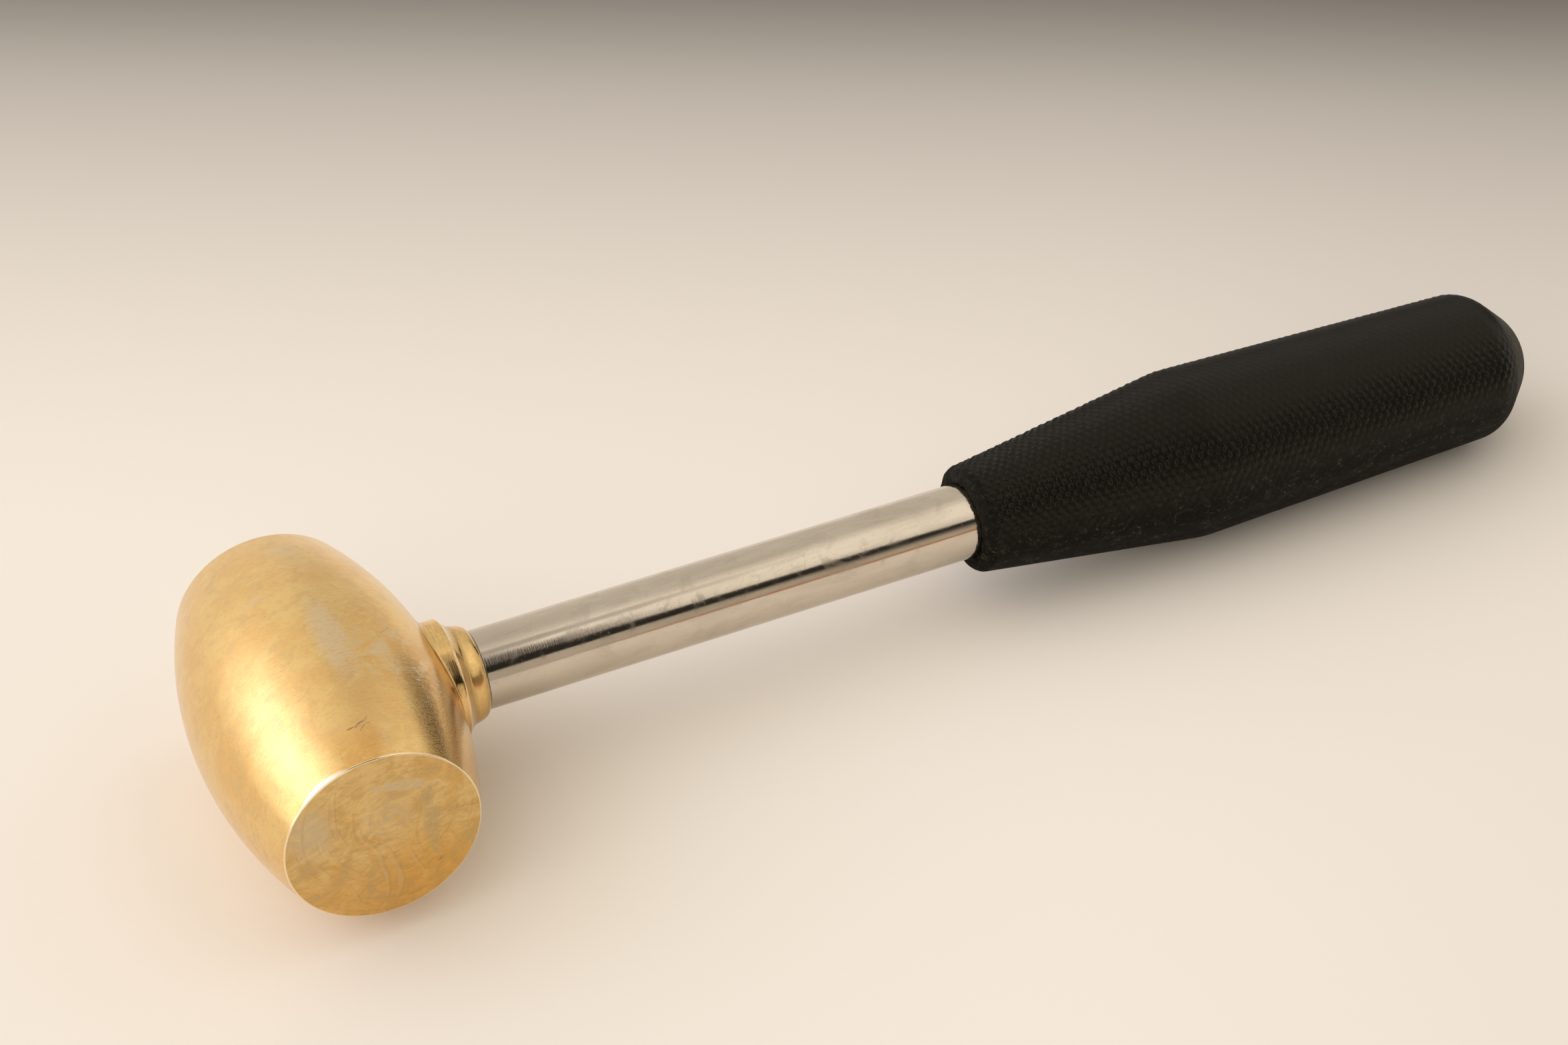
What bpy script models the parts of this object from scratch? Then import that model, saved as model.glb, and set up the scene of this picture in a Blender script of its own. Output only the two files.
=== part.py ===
"""Brass hammer: a barrel head with a stepped boss, a plated tube handle and a closed rubber grip.

Every piece hangs on one empty, whose +X is the handle from the middle of the head to the grip and whose Y is
the barrel's axis. The empty tips the hammer a little, so that it lies on its belly and on the end of the grip.
Outlines are lists of (radius, height) with height along the turning axis, so on the handle height is x.
"""

import math

import bmesh
import bpy
from mathutils import Vector

MM = 0.001

# Head: a barrel with a belly, two flat striking faces and a boss for the handle
BARREL_LENGTH = 71.8 * MM
BELLY_RADIUS = 24.65 * MM
FACE_RADIUS = 18.4 * MM
FACE_EDGE_ROUND = 0.6 * MM
BOSS_ROOT = 6.0 * MM
FLANGE_ROOT_RADIUS = 12.3 * MM
FLANGE_RADIUS = 12.0 * MM
FLANGE_FRONT = 25.5 * MM
NECK_RADIUS = 9.45 * MM
NECK_BACK = 27.4 * MM
NECK_FLARE = 2.4 * MM
MOUTH_RADIUS = 9.1 * MM
MOUTH_ROUND = 1.2 * MM
MOUTH_FRONT = 30.6 * MM
SOCKET_FLOOR = -12.0 * MM

# Handle: a tube with a steel core in the head and a plug in the grip
TUBE_RADIUS = 7.94 * MM
TUBE_WALL = 1.6 * MM
TUBE_END = 266.0 * MM
CORE_END = 36.0 * MM
CORE_CHAMFER = 0.8 * MM
PLUG_SHANK = 12.0 * MM
PLUG_FLANGE = 2.0 * MM
PLUG_CHAMFER = 0.5 * MM

# Slotted pin that locks head, tube and core, driven in from underneath
PIN_PLACE = 12.0 * MM
PIN_RADIUS = 2.5 * MM
PIN_WALL = 0.9 * MM
PIN_SLOT = 1.0 * MM
PIN_LOW = -20.4 * MM
PIN_HIGH = 11.0 * MM

# Grip: nose, swelling shoulder, slow taper back and domed end
GRIP_FRONT = 137.2 * MM
GRIP_FRONT_RADIUS = 11.25 * MM
GRIP_NOSE_ROUND = 3.4 * MM
SHOULDER_PLACE = 189.5 * MM
SHOULDER_RADIUS = 18.4 * MM
SHOULDER_ROUND = 25.0 * MM
HEEL_PLACE = 265.6 * MM
HEEL_RADIUS = 16.58 * MM
HEEL_ROUND = 8.0 * MM
DOME_SLOPE = math.radians(41.0)
DOME_ROUND = 13.5 * MM
GRIP_END = 277.4 * MM

# Fits and facets
GAP = 0.3 * MM
SIDES = 60
BELLY_STEPS = 18
ARC_STEP = math.radians(12.0)
PIN_STEPS = 28
SHARP_ANGLE = math.radians(30.0)
MERGE_DISTANCE = 0.001 * MM
CUTTER_REACH = 20.0 * MM

BORE_RADIUS = TUBE_RADIUS + GAP
TUBE_BORE_RADIUS = TUBE_RADIUS - TUBE_WALL
TUBE_START = SOCKET_FLOOR + GAP
PLUG_TOP = TUBE_END + GAP + PLUG_FLANGE
ALONG_HANDLE = (0.0, math.pi / 2, 0.0)
ALONG_BARREL = (math.pi / 2, 0.0, 0.0)
UPRIGHT = (0.0, 0.0, 0.0)

# Colour, roughness and metallic value of each finish
FINISHES = {
    "cast_brass": ((0.62, 0.42, 0.16, 1.0), 0.32, 1.0),
    "bright_plate": ((0.66, 0.64, 0.60, 1.0), 0.16, 1.0),
    "black_rubber": ((0.018, 0.017, 0.015, 1.0), 0.62, 0.0),
    "plain_steel": ((0.42, 0.42, 0.43, 1.0), 0.38, 1.0),
    "spring_steel": ((0.22, 0.22, 0.23, 1.0), 0.42, 1.0),
    "black_plastic": ((0.03, 0.03, 0.03, 1.0), 0.5, 0.0),
}


def clear_scene():
    """Removes whatever the file opened with."""
    for old in list(bpy.data.objects):
        bpy.data.objects.remove(old, do_unlink=True)


def finish_material(name):
    """One finish as a material."""
    colour, roughness, metallic = FINISHES[name]
    material = bpy.data.materials.new(name)
    material.use_nodes = True
    shader = material.node_tree.nodes["Principled BSDF"]
    shader.inputs["Base Color"].default_value = colour
    shader.inputs["Roughness"].default_value = roughness
    shader.inputs["Metallic"].default_value = metallic
    material.diffuse_color = colour
    return material


def rounded(corners):
    """Outline through (radius, height, round) corners, each rounded corner drawn as an arc."""
    outline = []
    for number, (radius, height, rounding) in enumerate(corners):
        corner = Vector((radius, height))
        if not rounding:
            outline.append(tuple(corner))
            continue
        before = (Vector(corners[number - 1][:2]) - corner).normalized()
        after = (Vector(corners[number + 1][:2]) - corner).normalized()
        opening = before.angle(after)
        centre = corner + (before + after).normalized() * rounding / math.sin(opening / 2)
        start = corner + before * rounding / math.tan(opening / 2) - centre
        turn = math.pi - opening
        if start.x * before.y - start.y * before.x > 0:
            turn = -turn
        steps = max(2, round(abs(turn) / ARC_STEP))
        for step in range(steps + 1):
            angle = turn * step / steps
            x = start.x * math.cos(angle) - start.y * math.sin(angle)
            y = start.x * math.sin(angle) + start.y * math.cos(angle)
            outline.append((centre.x + x, centre.y + y))
    return outline


def turned(name, outline, root, rotation, place=(0.0, 0.0, 0.0), closed=False):
    """A solid of revolution about its own Z axis."""
    mesh = bpy.data.meshes.new(name)
    edges = [(number, number + 1) for number in range(len(outline) - 1)]
    if closed:
        edges.append((len(outline) - 1, 0))
    mesh.from_pydata([(radius, 0.0, height) for radius, height in outline], edges, [])
    piece = placed(name, mesh, root, rotation, place)
    screw = piece.modifiers.new("Turn", "SCREW")
    screw.angle = 2 * math.pi
    screw.steps = SIDES
    screw.render_steps = SIDES
    screw.use_merge_vertices = True
    screw.merge_threshold = MERGE_DISTANCE
    return piece


def placed(name, mesh, root, rotation, place):
    """A new object with this mesh, hung on the hammer's empty."""
    piece = bpy.data.objects.new(name, mesh)
    bpy.context.collection.objects.link(piece)
    piece.parent = root
    piece.location = place
    piece.rotation_euler = rotation
    return piece


def rod(name, radius, low, high, root, rotation, place=(0.0, 0.0, 0.0)):
    """A plain round bar, the shape of a drilled hole."""
    outline = [(0.0, high), (radius, high), (radius, low), (0.0, low)]
    return turned(name, outline, root, rotation, place)


def combine(piece, operation, tool):
    """Joins a shape to a piece, or cuts it out of the piece, and removes the shape."""
    boolean = piece.modifiers.new(operation.title(), "BOOLEAN")
    boolean.operation = operation
    boolean.solver = "EXACT"
    boolean.object = tool
    bake(piece)
    bpy.data.objects.remove(tool, do_unlink=True)


def bake(piece):
    """Turns a piece's modifiers into its mesh."""
    bpy.context.view_layer.update()
    evaluated = piece.evaluated_get(bpy.context.evaluated_depsgraph_get())
    mesh = bpy.data.meshes.new_from_object(evaluated)
    piece.modifiers.clear()
    piece.data = mesh
    mesh.name = piece.name


def dress(piece, material):
    """Smooth round surfaces with crisp edges, in one finish."""
    bake(piece)
    piece.data.shade_smooth()
    piece.data.set_sharp_from_angle(angle=SHARP_ANGLE)
    piece.data.materials.clear()
    piece.data.materials.append(finish_material(material))
    return piece


def cut_pin_hole(piece, root):
    """Drills the pin's hole through a piece, upwards from underneath and blind at its top."""
    low = -BELLY_RADIUS - CUTTER_REACH
    hole = rod("pin_hole", PIN_RADIUS + GAP, low, PIN_HIGH + GAP, root, UPRIGHT, (PIN_PLACE, 0.0, 0.0))
    combine(piece, "DIFFERENCE", hole)


def belly_radius(height):
    """Radius of the barrel at a height along its axis: a parabola from face to face."""
    share = 2 * height / BARREL_LENGTH
    return BELLY_RADIUS - (BELLY_RADIUS - FACE_RADIUS) * share ** 2


def make_head(root):
    """Brass barrel with its boss, its blind socket and the pin's hole."""
    half = BARREL_LENGTH / 2
    corners = [(0.0, half, 0.0), (FACE_RADIUS, half, FACE_EDGE_ROUND)]
    for step in range(1, BELLY_STEPS):
        height = half - BARREL_LENGTH * step / BELLY_STEPS
        corners.append((belly_radius(height), height, 0.0))
    corners += [(FACE_RADIUS, -half, FACE_EDGE_ROUND), (0.0, -half, 0.0)]
    head = turned("brass_head", rounded(corners), root, ALONG_BARREL)

    boss_outline = rounded([
        (0.0, MOUTH_FRONT, 0.0),
        (MOUTH_RADIUS, MOUTH_FRONT, MOUTH_ROUND),
        (NECK_RADIUS, NECK_BACK, NECK_FLARE),
        (FLANGE_RADIUS, FLANGE_FRONT, 0.0),
        (FLANGE_ROOT_RADIUS, BOSS_ROOT, 0.0),
        (0.0, BOSS_ROOT, 0.0),
    ])
    combine(head, "UNION", turned("boss", boss_outline, root, ALONG_HANDLE))
    socket = rod("socket", BORE_RADIUS, SOCKET_FLOOR, MOUTH_FRONT + CUTTER_REACH, root, ALONG_HANDLE)
    combine(head, "DIFFERENCE", socket)
    cut_pin_hole(head, root)
    return dress(head, "cast_brass")


def make_tube(root):
    """Plated steel tube from the socket's floor to the end of the grip."""
    outline = [
        (TUBE_RADIUS, TUBE_END),
        (TUBE_RADIUS, TUBE_START),
        (TUBE_BORE_RADIUS, TUBE_START),
        (TUBE_BORE_RADIUS, TUBE_END),
    ]
    tube = turned("handle_tube", outline, root, ALONG_HANDLE, closed=True)
    cut_pin_hole(tube, root)
    return dress(tube, "bright_plate")


def make_core(root):
    """Solid steel core that stiffens the tube inside the head."""
    radius = TUBE_BORE_RADIUS - GAP
    outline = [
        (0.0, CORE_END),
        (radius - CORE_CHAMFER, CORE_END),
        (radius, CORE_END - CORE_CHAMFER),
        (radius, TUBE_START + CORE_CHAMFER),
        (radius - CORE_CHAMFER, TUBE_START),
        (0.0, TUBE_START),
    ]
    core = turned("tube_core", outline, root, ALONG_HANDLE)
    cut_pin_hole(core, root)
    return dress(core, "plain_steel")


def make_pin(root):
    """Slotted spring pin: a rolled strip with an open seam."""
    shape = bmesh.new()
    half_slot = math.asin(PIN_SLOT / 2 / PIN_RADIUS)
    rings = []
    for step in range(PIN_STEPS + 1):
        angle = half_slot + (2 * math.pi - 2 * half_slot) * step / PIN_STEPS
        across = Vector((math.cos(angle), math.sin(angle), 0.0))
        low = Vector((0.0, 0.0, PIN_LOW))
        inner = shape.verts.new(across * (PIN_RADIUS - PIN_WALL) + low)
        outer = shape.verts.new(across * PIN_RADIUS + low)
        rings.append((inner, outer))
    for (inner, outer), (next_inner, next_outer) in zip(rings, rings[1:]):
        shape.faces.new((inner, next_inner, next_outer, outer))
    raised = bmesh.ops.extrude_face_region(shape, geom=shape.faces[:])["geom"]
    top = [item for item in raised if isinstance(item, bmesh.types.BMVert)]
    bmesh.ops.translate(shape, verts=top, vec=(0.0, 0.0, PIN_HIGH - PIN_LOW))
    bmesh.ops.recalc_face_normals(shape, faces=shape.faces[:])
    mesh = bpy.data.meshes.new("spring_pin")
    shape.to_mesh(mesh)
    shape.free()
    return dress(placed("spring_pin", mesh, root, UPRIGHT, (PIN_PLACE, 0.0, 0.0)), "spring_steel")


def make_grip(root):
    """Rubber sleeve, open at its nose and domed shut at its end."""
    dome_edge = HEEL_RADIUS - (GRIP_END - HEEL_PLACE) * math.tan(DOME_SLOPE)
    outline = rounded([
        (0.0, GRIP_END, 0.0),
        (dome_edge, GRIP_END, DOME_ROUND),
        (HEEL_RADIUS, HEEL_PLACE, HEEL_ROUND),
        (SHOULDER_RADIUS, SHOULDER_PLACE, SHOULDER_ROUND),
        (GRIP_FRONT_RADIUS, GRIP_FRONT, GRIP_NOSE_ROUND),
        (BORE_RADIUS, GRIP_FRONT, 0.0),
        (BORE_RADIUS, PLUG_TOP + GAP, 0.0),
        (0.0, PLUG_TOP + GAP, 0.0),
    ])
    return dress(turned("rubber_grip", outline, root, ALONG_HANDLE), "black_rubber")


def make_end_plug(root):
    """Flanged plug that closes the tube inside the grip."""
    shank = TUBE_BORE_RADIUS - GAP
    flange_low = TUBE_END + GAP
    outline = [
        (0.0, PLUG_TOP),
        (TUBE_RADIUS - PLUG_CHAMFER, PLUG_TOP),
        (TUBE_RADIUS, PLUG_TOP - PLUG_CHAMFER),
        (TUBE_RADIUS, flange_low),
        (shank, flange_low),
        (shank, flange_low - PLUG_SHANK + PLUG_CHAMFER),
        (shank - PLUG_CHAMFER, flange_low - PLUG_SHANK),
        (0.0, flange_low - PLUG_SHANK),
    ]
    return dress(turned("tube_end_plug", outline, root, ALONG_HANDLE), "black_plastic")


def resting_tilt():
    """Angle that brings the belly of the head and the heel of the grip down to one level."""
    taper = (SHOULDER_RADIUS - HEEL_RADIUS) / (HEEL_PLACE - SHOULDER_PLACE)
    setback = HEEL_ROUND * math.tan(DOME_SLOPE / 2)
    place = HEEL_PLACE - setback
    radius = HEEL_RADIUS + setback * taper
    return math.asin(BELLY_RADIUS / math.hypot(place, radius)) - math.atan2(radius, place)


def stand_on_origin(root, pieces):
    """Moves the hammer so that the middle of its footprint box is at the origin, at table height."""
    bpy.context.view_layer.update()
    points = [piece.matrix_world @ vertex.co for piece in pieces for vertex in piece.data.vertices]
    low = Vector(min(point[axis] for point in points) for axis in range(3))
    high = Vector(max(point[axis] for point in points) for axis in range(3))
    root.location.x -= (low.x + high.x) / 2
    root.location.y -= (low.y + high.y) / 2
    root.location.z -= low.z
    bpy.context.view_layer.update()


def main():
    clear_scene()
    root = bpy.data.objects.new("hammer", None)
    bpy.context.collection.objects.link(root)
    root.rotation_euler = (0.0, resting_tilt(), 0.0)
    makers = (make_head, make_tube, make_core, make_pin, make_grip, make_end_plug)
    stand_on_origin(root, [make(root) for make in makers])


main()
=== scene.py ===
"""Looks of a brass hammer: a satin brass head, a bright plated tube and a black rubber grip.

The pieces are modelled in the hammer's own lengths, with the middle of the head at the origin and the handle
along +X, and are then laid down on the table, where the head's belly and the grip's shoulder touch it.
"""

import functools
import math

import bmesh
import bpy
from mathutils import Matrix, Vector, noise


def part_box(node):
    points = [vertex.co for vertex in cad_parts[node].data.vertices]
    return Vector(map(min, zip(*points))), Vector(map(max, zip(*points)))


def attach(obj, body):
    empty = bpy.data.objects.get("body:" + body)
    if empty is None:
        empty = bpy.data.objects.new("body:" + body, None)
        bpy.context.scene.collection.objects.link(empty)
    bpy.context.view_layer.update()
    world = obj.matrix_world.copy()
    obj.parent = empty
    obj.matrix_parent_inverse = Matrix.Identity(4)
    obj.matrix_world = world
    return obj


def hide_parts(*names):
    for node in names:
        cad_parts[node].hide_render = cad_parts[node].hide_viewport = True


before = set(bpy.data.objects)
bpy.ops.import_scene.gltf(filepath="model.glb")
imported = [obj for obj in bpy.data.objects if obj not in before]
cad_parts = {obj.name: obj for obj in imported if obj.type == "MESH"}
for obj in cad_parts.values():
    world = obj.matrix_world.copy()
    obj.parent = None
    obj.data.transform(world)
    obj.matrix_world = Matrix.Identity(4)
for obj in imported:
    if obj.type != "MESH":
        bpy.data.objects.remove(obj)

bl_info = {
    "name": "Brass hammer",
    "version": (1, 0, 0),
    "blender": (4, 5, 0),
    "location": "3D View > Sidebar > Hammer",
    "description": "Models and finishes a brass hammer with a tube handle and a rubber grip",
    "category": "Object",
}

MM = 0.001
DEGREES = 180 / math.pi
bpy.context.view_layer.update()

# The hammer as it lies: the head's middle, and the droop of the handle from the head to the grip.
HEAD_MIDDLE = Vector((-0.1263188, 0.0, 0.0246507))
DROOP = math.radians(1.74705759)
LYING = Matrix.Translation(HEAD_MIDDLE) @ Matrix.Rotation(DROOP, 4, "Y")

# The barrel's mesh: strips round it, strips along a flank, where the lip starts in mm from a face, and the
# square of strips that makes room for the boss.
BARREL_SIDES = 132
FLANK_STEPS = 17
LIP_START = 2.3
PATCH_STEPS = 13
PATCH_REACH = 14.3

# The peened place on the near rim: degrees from the top towards the boss, half its length in degrees, and its
# depth and swelling in mm.
DENT_TURN = -31.0
DENT_SPREAD = 20.0
DENT_DEPTH = 1.7
DENT_SWELL = 0.24

# The hole for the spring pin, in mm.
PIN_HOLE_RADIUS = 2.8
PIN_HOLE_DEPTH = 41.3
PIN_HOLE_MIDDLE = (12.0, 0.0, -9.35)


def sized(node):
    """Lengths of a CAD node's box, in millimetres."""
    low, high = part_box(node)
    return (high - low) / MM


def length(name, about, default):
    """A property that holds a length in mm."""
    return bpy.props.FloatProperty(name=name, description=about + ", in mm", default=default)


def tint(name, about, default):
    """A property that holds a colour."""
    return bpy.props.FloatVectorProperty(name=name, description=about, subtype="COLOR", default=default)


class HeadSettings(bpy.types.PropertyGroup):
    """Sizes and colours of the brass head."""

    barrel_length: length("Barrel length", "From face to face", sized("brass_head").y)
    belly_radius: length("Belly radius", "Barrel's radius at its middle", 24.65)
    face_radius: length("Face radius", "Barrel's radius at its striking faces", 18.4)
    crest_radius: length("Crest radius", "Radius of the boss's outer step", 12.0)
    neck_radius: length("Neck radius", "Radius of the boss's neck", 9.62)
    bore_radius: length("Bore radius", "Radius of the handle's socket", 8.24)
    brass: tint("Brass", "Clean satin brass", (0.84, 0.60, 0.255))
    tarnish: tint("Tarnish", "Orange tarnish", (0.79, 0.485, 0.185))
    smear: tint("Smear", "Silvery smears", (0.79, 0.62, 0.385))
    # The rim colour is bare metal on worn edges and also a painted highlight along the rims, the boss's crest and
    # its mouth.
    rim: tint("Rim", "Bare metal on worn edges", (0.93, 0.80, 0.57))


class TubeSettings(bpy.types.PropertyGroup):
    """Sizes and colours of the handle tube."""

    radius: length("Radius", "Outside radius of the tube", 7.94)
    wall: length("Wall", "Thickness of the tube's wall", 1.6)
    start: length("Start", "End in the head's socket, along the handle", -11.7)
    end: length("End", "End inside the grip, along the handle", 266.0)
    plate: tint("Plate", "Bright plating", (0.65, 0.585, 0.495))


class GripSettings(bpy.types.PropertyGroup):
    """Sizes and colours of the rubber grip."""

    front: length("Front", "Where the grip starts along the handle", 137.2)
    end: length("End", "Tip of the grip's dome", 277.4)
    pitch: length("Pimple pitch", "Distance between pimples along the handle", 1.85)
    rows: bpy.props.IntProperty(
        name="Pimple rows", description="Rows of pimples round the grip", default=66)
    pimple: length("Pimple height", "Height of a pimple", 0.24)
    rubber: tint("Rubber", "Black rubber", (0.0037, 0.0034, 0.0027))
    # Dust and scuffs, also painted as a sheen low down, on the lip and on the dome's tip.
    dust_and_sheen: tint("Dust", "Dust and scuffs", (0.115, 0.10, 0.075))


class StageSettings(bpy.types.PropertyGroup):
    """Floor, light and camera."""

    floor: tint("Floor", "Pale floor", (0.90, 0.855, 0.80))
    surround: tint("Surround", "Soft light from all round", (1.0, 0.918, 0.80))
    surround_level: bpy.props.FloatProperty(
        name="Surround level", description="Strength of the soft light from all round", default=0.91)
    glow_level: bpy.props.FloatProperty(
        name="Glow level", description="Strength of the soft glow at the back left", default=1.33)
    lens: bpy.props.FloatProperty(
        name="Lens", description="Focal length on a 36 mm wide sensor", default=60.0, unit="CAMERA")


# Node trees

class Wire:
    """A socket that carries a number, colour or vector. Arithmetic on a number adds Math nodes."""

    def __init__(self, tree, socket):
        self.tree = tree
        self.socket = socket

    def math(self, operation, *terms):
        return self.tree.add("ShaderNodeMath", {"operation": operation}, dict(enumerate(terms)))

    def __add__(self, other):
        return self.math("ADD", self, other)

    def __radd__(self, other):
        return self.math("ADD", other, self)

    def __sub__(self, other):
        return self.math("SUBTRACT", self, other)

    def __rsub__(self, other):
        return self.math("SUBTRACT", other, self)

    def __mul__(self, other):
        return self.math("MULTIPLY", self, other)

    def __rmul__(self, other):
        return self.math("MULTIPLY", other, self)

    def __truediv__(self, other):
        return self.math("DIVIDE", self, other)

    def __rtruediv__(self, other):
        return self.math("DIVIDE", other, self)

    def __pow__(self, other):
        return self.math("POWER", self, other)

    def __rpow__(self, other):
        return self.math("POWER", other, self)

    def __abs__(self):
        return self.math("ABSOLUTE", self)

    def root(self):
        return self.math("SQRT", self)

    def exp(self):
        return self.math("EXPONENT", self)

    def cos(self):
        return self.math("COSINE", self)

    def turn(self, other):
        """Angle whose sine lies along self and whose cosine lies along other."""
        return self.math("ARCTAN2", self, other)

    def top(self, other):
        """The higher of two numbers."""
        return self.math("MAXIMUM", self, other)


class Tree:
    """Nodes of one material or of the world."""

    def __init__(self, owner):
        owner.use_nodes = True
        self.nodes = owner.node_tree.nodes
        self.links = owner.node_tree.links
        self.nodes.clear()

    def add(self, kind, settings=None, sockets=None, out=0):
        """Makes a node, sets its settings, then its sockets' values or links, and returns one output."""
        node = self.nodes.new(kind)
        for key, value in (settings or {}).items():
            setattr(node, key, value)
        for key, value in (sockets or {}).items():
            socket = self.find(node.inputs, key)
            if isinstance(value, Wire):
                self.links.new(value.socket, socket)
            else:
                socket.default_value = value
        return Wire(self, self.find(node.outputs, out)) if len(node.outputs) else node

    @staticmethod
    def find(sockets, key):
        if isinstance(key, int):
            return sockets[key]
        named = [s for s in sockets if s.identifier == key]
        return named[0] if named else sockets[key]

    def fade(self, value, low, high):
        """0 at low, 1 at high, smooth between and level beyond."""
        return self.add("ShaderNodeMapRange", {"interpolation_type": "SMOOTHSTEP", "clamp": True},
                        {"Value": value, "From Min": low, "From Max": high})

    def close(self, value, centre, inner, outer):
        """1 where value is within inner of centre, 0 beyond outer."""
        return 1.0 - self.fade(abs(value - centre), inner, outer)

    def highest(self, *wires):
        return functools.reduce(Wire.top, wires)

    def blend(self, share, first, second):
        """Colour that goes from first to second as share goes from 0 to 1."""
        ends = {"A_Color": first, "B_Color": second}
        ends = {k: v if isinstance(v, Wire) else (*v[:3], 1.0) for k, v in ends.items()}
        return self.add("ShaderNodeMix", {"data_type": "RGBA", "clamp_factor": True},
                        {"Factor_Float": share, **ends}, "Result_Color")

    def layered(self, base, *layers):
        """Base colour under layers of (share, colour), each over the last."""
        for share, colour in layers:
            base = self.blend(share, base, colour)
        return base

    def point(self, x, y, z=0.0):
        return self.add("ShaderNodeCombineXYZ", None, {0: x, 1: y, 2: z})

    def split(self, vector):
        node = self.add("ShaderNodeSeparateXYZ", None, {0: vector}).socket.node
        return [Wire(self, s) for s in node.outputs]

    def grain(self, vector, scale, detail=3.0, roughness=0.55, distortion=0.0):
        """Soft noise from 0 to 1."""
        return self.add("ShaderNodeTexNoise", None,
                        {"Vector": vector, "Scale": scale, "Detail": detail, "Roughness": roughness,
                         "Distortion": distortion})

    def spot(self, place, centre, radius, soft=0.35):
        """1 near centre, 0 beyond radius."""
        gap = self.add("ShaderNodeVectorMath", {"operation": "DISTANCE"},
                       {"Vector": place, "Vector_001": centre}, "Value")
        return 1.0 - self.fade(gap, radius * soft, radius)

    def stroke(self, u, v, start, end, width, bow=0.0):
        """A mark from start to end, tapered at both and bowed to one side: its core and its far edge."""
        run = Vector(end) - Vector(start)
        length = run.length
        run.normalize()
        du, dv = u - start[0], v - start[1]
        along = (du * run.x + dv * run.y) / length
        hump = (along * (1.0 - along) * 4.0).top(0.0)
        off = dv * run.x - du * run.y - hump * bow
        ends = self.fade(hump, 0.0, 0.35)
        core = (1.0 - self.fade(abs(off) / (hump.root() + 0.05), width * 0.3, width)) * ends
        edge = (1.0 - self.fade(abs(off - width), 0.1, 0.25 + width * 0.2)) * ends
        return core, edge

    def raised(self, height, depth, normal=None):
        """Normal of a surface whose height goes from 0 to depth metres."""
        sockets = {"Height": height, "Distance": depth, "Strength": 1.0}
        if normal is not None:
            sockets["Normal"] = normal
        return self.add("ShaderNodeBump", None, sockets)

    def surface(self, fixed, **varying):
        """Ends the tree in a Principled surface, with fixed values set on its own sockets."""
        sockets = {k.replace("_", " "): v for k, v in varying.items()}
        shader = self.add("ShaderNodeBsdfPrincipled", None, {**fixed, **sockets})
        self.add("ShaderNodeOutputMaterial", None, {"Surface": shader})


def finish_named(name):
    """A new material, its tree, and its place in the hammer's own lengths in mm."""
    material = bpy.data.materials.new(name)
    tree = Tree(material)
    lying = tree.add("ShaderNodeTexCoord", None, None, "Object")
    own = tree.add("ShaderNodeMapping", {"vector_type": "TEXTURE"},
                   {"Vector": lying, "Location": HEAD_MIDDLE, "Rotation": (0.0, DROOP, 0.0),
                    "Scale": (MM, MM, MM)})
    return material, tree, own


# Modelling helpers

def clear_selection():
    if bpy.context.mode != "OBJECT":
        bpy.ops.object.mode_set(mode="OBJECT")
    bpy.ops.object.select_all(action="DESELECT")


def draw_profile(name, points):
    """A new piece in edit mode: one vertex, extruded from point to point. Points are in mm."""
    clear_selection()
    bpy.ops.mesh.primitive_plane_add(size=MM, location=(0, 0, 0))
    piece = bpy.context.active_object
    piece.name = piece.data.name = name
    bpy.ops.object.mode_set(mode="EDIT")
    bpy.ops.mesh.merge(type="CENTER")
    points = [Vector(p) * MM for p in points]
    bpy.ops.transform.translate(value=points[0])
    for here, there in zip(points, points[1:]):
        bpy.ops.mesh.extrude_region_move(TRANSFORM_OT_translate={"value": there - here})
    return piece


def spin_profile(axis, sides):
    """Spins the drawn profile right round axis and closes its seam and poles."""
    bpy.ops.mesh.select_all(action="SELECT")
    bpy.ops.mesh.spin(steps=sides, angle=math.tau, center=(0, 0, 0), axis=axis)
    bpy.ops.mesh.select_all(action="SELECT")
    bpy.ops.mesh.remove_doubles(threshold=1e-6)
    bpy.ops.mesh.normals_make_consistent(inside=False)


def select_only(mesh, kept):
    """Selects the vertices that are kept, and the edges and faces between them."""
    for face in mesh.faces:
        face.select = False
    for edge in mesh.edges:
        edge.select = False
    for vertex in mesh.verts:
        vertex.select = vertex in kept
    mesh.select_flush(True)


def apply_modifier(piece, kind, **settings):
    bpy.ops.object.modifier_add(type=kind)
    modifier = piece.modifiers[-1]
    for key, value in settings.items():
        setattr(modifier, key, value)
    bpy.ops.object.modifier_apply(modifier=modifier.name)


def pick(piece):
    """Makes a piece the active object and the only one selected."""
    clear_selection()
    bpy.context.view_layer.objects.active = piece
    piece.select_set(True)


def cut_pin_hole(piece):
    """Drills the hole for the spring pin, up from underneath, through the socket and the tube."""
    clear_selection()
    bpy.ops.mesh.primitive_cylinder_add(
        vertices=48, radius=PIN_HOLE_RADIUS * MM, depth=PIN_HOLE_DEPTH * MM,
        location=[c * MM for c in PIN_HOLE_MIDDLE])
    drill = bpy.context.active_object
    bpy.ops.object.transform_apply(location=True)
    pick(piece)
    apply_modifier(piece, "BOOLEAN", operation="DIFFERENCE", solver="EXACT", object=drill)
    bpy.data.objects.remove(drill)


def lay_down(piece, node, material, sharp):
    """Lays a finished piece on the table, in the place of its CAD node."""
    pick(piece)
    bpy.ops.object.shade_smooth_by_angle(angle=math.radians(sharp))
    piece.matrix_world = LYING
    bpy.ops.object.transform_apply(location=True, rotation=True, scale=True)
    piece.data.materials.clear()
    piece.data.materials.append(material)
    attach(piece, "root")
    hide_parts(node)


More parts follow.
